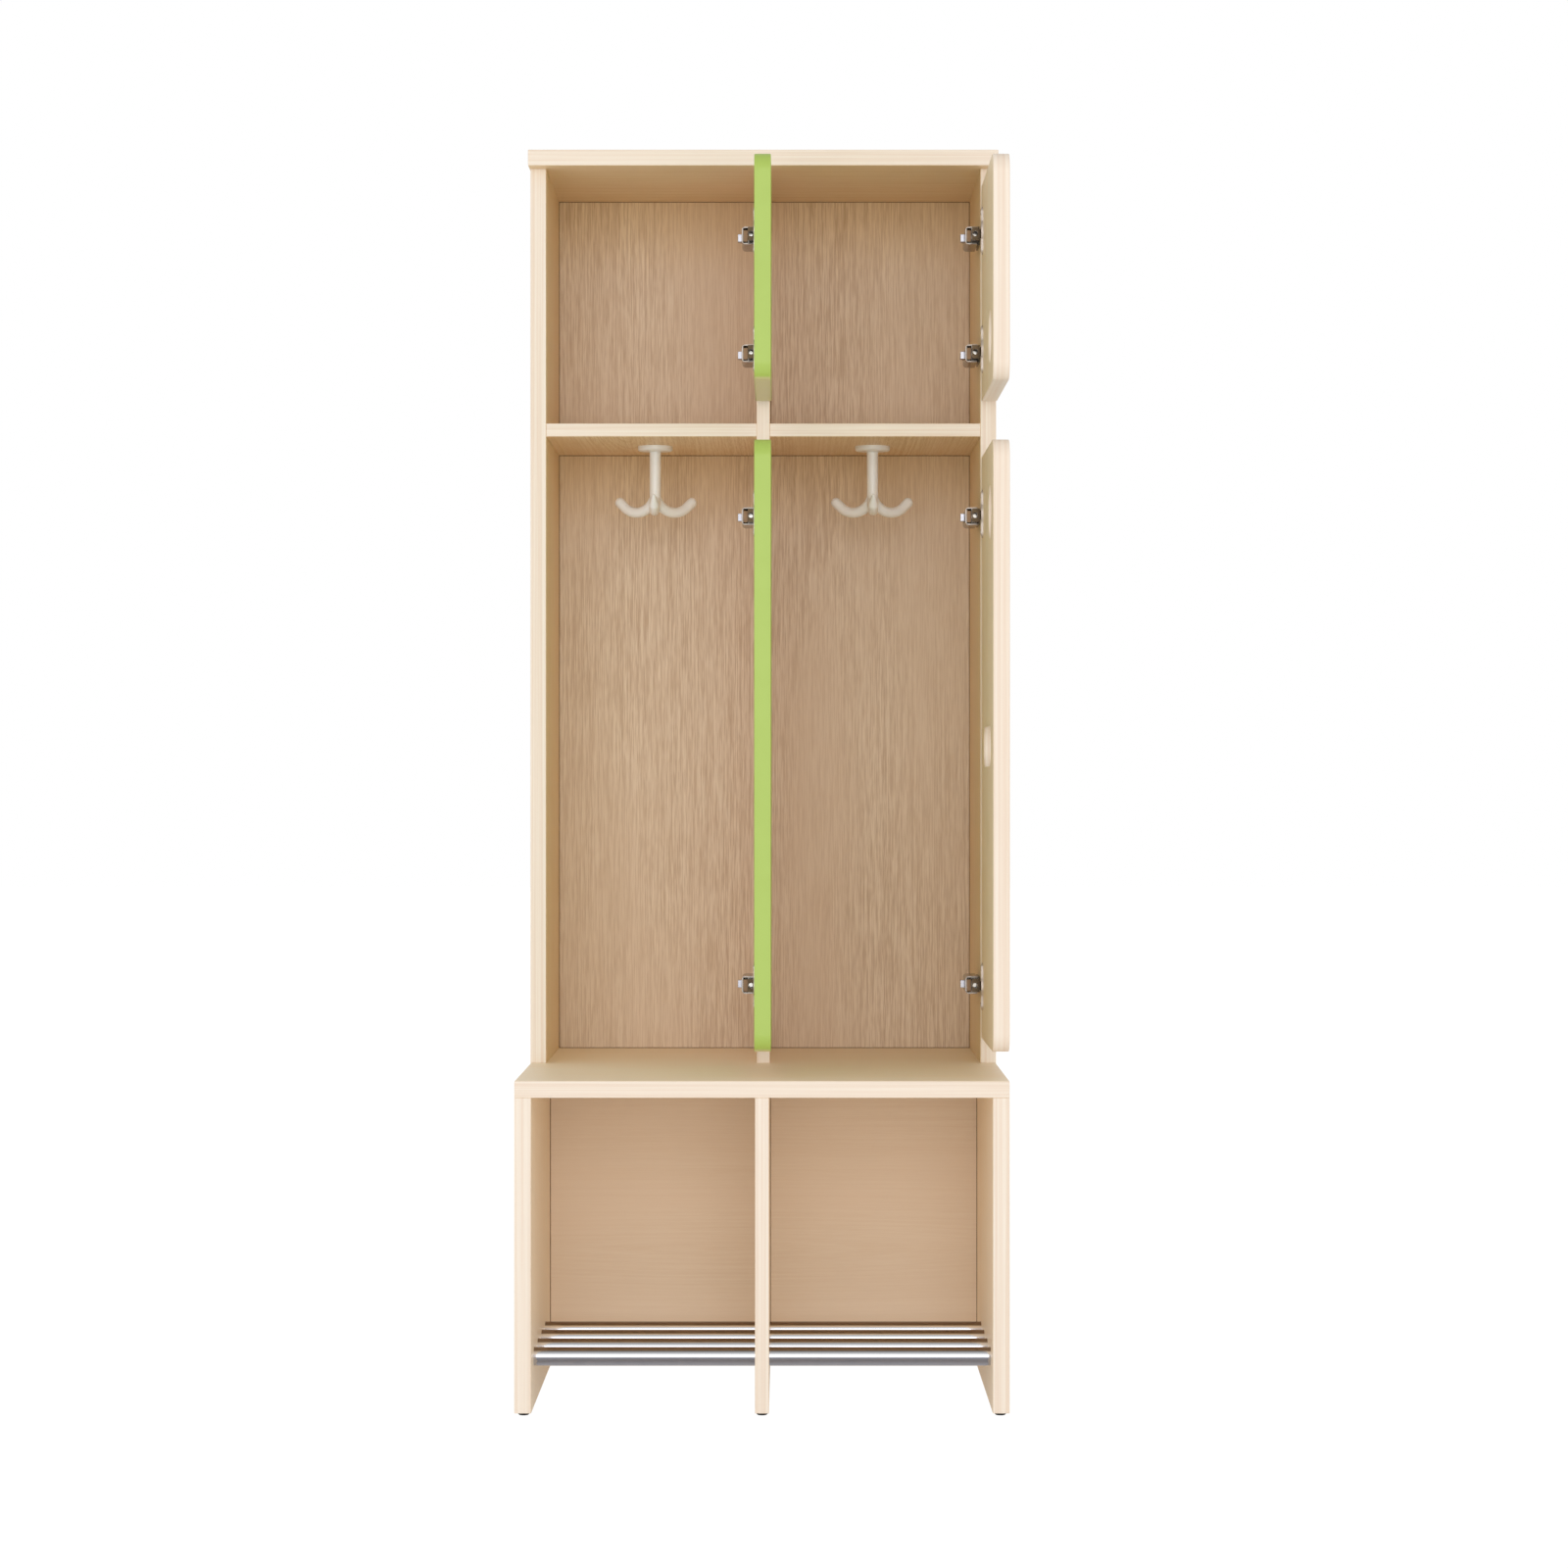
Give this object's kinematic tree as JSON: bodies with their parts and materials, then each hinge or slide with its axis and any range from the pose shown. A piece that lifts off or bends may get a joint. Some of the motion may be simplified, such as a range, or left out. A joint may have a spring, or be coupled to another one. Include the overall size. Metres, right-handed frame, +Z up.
{
  "type": "cloakroom unit",
  "caption": "Tall cloakroom unit in pale wood-decor board: hinged doors over a bench seat, hat cubbies, coat hooks and a tubular shoe rack.",
  "frame": {"origin": "on the floor under the middle of the unit's outer box, with the doors open at a right angle", "axes": "+X to the right of someone who faces the unit, +Y to the back, +Z up"},
  "size_m": [0.533, 0.5, 1.396],
  "materials": {
    "top_decor": "satin wood-decor board",
    "side_decor": "satin wood-decor board",
    "divider_decor": "satin wood-decor board",
    "shelf_decor": "satin wood-decor board",
    "back_decor": "satin wood-decor board",
    "seat_decor": "satin wood-decor board",
    "bench_decor": "satin wood-decor board",
    "bench_divider_decor": "satin wood-decor board",
    "bench_back_decor": "satin wood-decor board",
    "decor_door": "satin wood-decor board",
    "green_door": "satin green board",
    "dowel_wood": "plain beech",
    "chrome_tube": "polished",
    "hinge_steel": "nickel plated",
    "plate_steel": "zinc plated",
    "screw_steel": "zinc plated",
    "white_plastic": "satin off-white",
    "black_plastic": "matt"
  },
  "bodies": {
    "carcass": {"top_board": "top_decor", "cabinet_left_side": "side_decor", "cabinet_right_side": "side_decor", "cabinet_divider": "divider_decor", "left_shelf": "shelf_decor", "right_shelf": "shelf_decor", "cabinet_back": "back_decor", "seat_board": "seat_decor", "bench_left_side": "bench_decor", "bench_right_side": "bench_decor", "bench_divider": "bench_divider_decor", "bench_back": "bench_back_decor", "shoe_tube_1": "chrome_tube", "shoe_tube_2": "chrome_tube", "shoe_tube_3": "chrome_tube", "shoe_tube_4": "chrome_tube", "floor_glides": "black_plastic", "left_hook": "white_plastic", "right_hook": "white_plastic", "hook_studs": "screw_steel", "upright_dowels": "dowel_wood", "level_dowels": "dowel_wood", "upper_left_door_hinge_arms": "hinge_steel", "upper_left_door_hinge_plates": "plate_steel", "upper_left_door_hinge_plate_screws": "screw_steel", "upper_left_door_hinge_arm_screws": "screw_steel", "lower_left_door_hinge_arms": "hinge_steel", "lower_left_door_hinge_plates": "plate_steel", "lower_left_door_hinge_plate_screws": "screw_steel", "lower_left_door_hinge_arm_screws": "screw_steel", "upper_right_door_hinge_arms": "hinge_steel", "upper_right_door_hinge_plates": "plate_steel", "upper_right_door_hinge_plate_screws": "screw_steel", "upper_right_door_hinge_arm_screws": "screw_steel", "lower_right_door_hinge_arms": "hinge_steel", "lower_right_door_hinge_plates": "plate_steel", "lower_right_door_hinge_plate_screws": "screw_steel", "lower_right_door_hinge_arm_screws": "screw_steel"},
    "upper_left_leaf": {"upper_left_door": "green_door", "upper_left_door_hinge_cups": "hinge_steel", "upper_left_door_hinge_pins": "screw_steel", "upper_left_door_hinge_cup_screws": "screw_steel"},
    "lower_left_leaf": {"lower_left_door": "green_door", "lower_left_door_hinge_cups": "hinge_steel", "lower_left_door_hinge_pins": "screw_steel", "lower_left_door_hinge_cup_screws": "screw_steel"},
    "upper_right_leaf": {"upper_right_door": "decor_door", "upper_right_door_hinge_cups": "hinge_steel", "upper_right_door_hinge_pins": "screw_steel", "upper_right_door_hinge_cup_screws": "screw_steel"},
    "lower_right_leaf": {"lower_right_door": "decor_door", "lower_right_door_hinge_cups": "hinge_steel", "lower_right_door_hinge_pins": "screw_steel", "lower_right_door_hinge_cup_screws": "screw_steel"}
  },
  "joints": [
    {"name": "upper_left_hinge", "type": "hinge", "parent": "carcass", "child": "upper_left_leaf", "pos_m": [0.001, -0.0075, 1.235], "axis": [0, 0, 1], "range_deg": [-90, 5]},
    {"name": "lower_left_hinge", "type": "hinge", "parent": "carcass", "child": "lower_left_leaf", "pos_m": [0.001, -0.0075, 0.719], "axis": [0, 0, 1], "range_deg": [-90, 5]},
    {"name": "upper_right_hinge", "type": "hinge", "parent": "carcass", "child": "upper_right_leaf", "pos_m": [0.2575, -0.0075, 1.235], "axis": [0, 0, 1], "range_deg": [-90, 5]},
    {"name": "lower_right_hinge", "type": "hinge", "parent": "carcass", "child": "lower_right_leaf", "pos_m": [0.2575, -0.0075, 0.719], "axis": [0, 0, 1], "range_deg": [-90, 5]}
  ]
}
